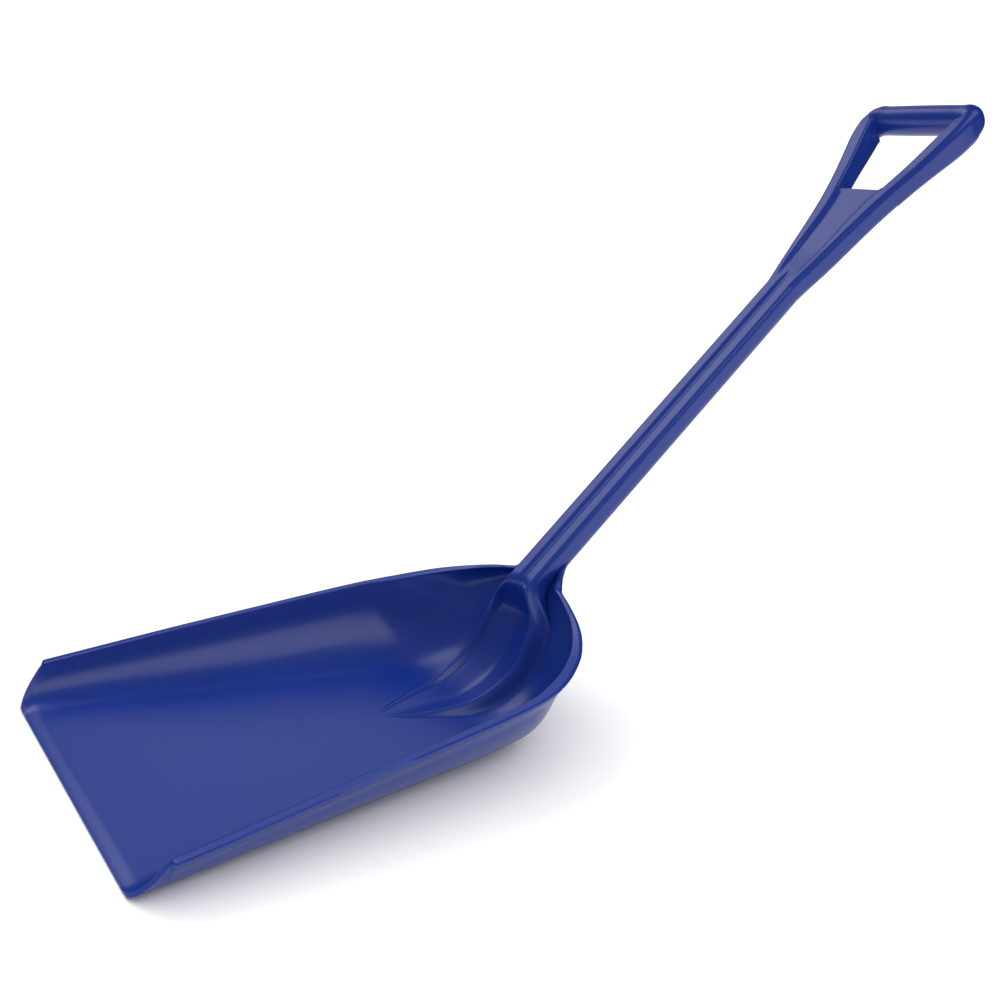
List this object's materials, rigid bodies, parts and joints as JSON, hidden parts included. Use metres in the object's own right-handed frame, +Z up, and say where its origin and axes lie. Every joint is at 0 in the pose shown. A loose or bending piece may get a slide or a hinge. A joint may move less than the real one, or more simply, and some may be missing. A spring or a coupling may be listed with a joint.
{
  "type": "feed shovel",
  "caption": "One-piece moulded plastic feed shovel: deep flat-bottomed pan, ramp, grooved shaft at an angle and a webbed D grip.",
  "frame": {"origin": "centre of the pan's flat underside, half way between the cutting edge and the heel", "axes": "+X across the pan to the user's right, +Y from the cutting edge towards the grip, +Z up out of the pan"},
  "size_m": [0.3526, 0.9409, 0.5968],
  "materials": {
    "pan_plastic": "semi-gloss moulded polypropylene, deep blue",
    "ramp_plastic": "semi-gloss moulded polypropylene, deep blue",
    "handle_plastic": "semi-gloss moulded polypropylene, deep blue"
  },
  "bodies": {
    "root": {"pan": "pan_plastic", "handle_ramp": "ramp_plastic", "shaft": "handle_plastic", "grip_fork": "handle_plastic", "grip_arm_left": "handle_plastic", "grip_arm_right": "handle_plastic", "grip_bar": "handle_plastic"}
  },
  "joints": []
}
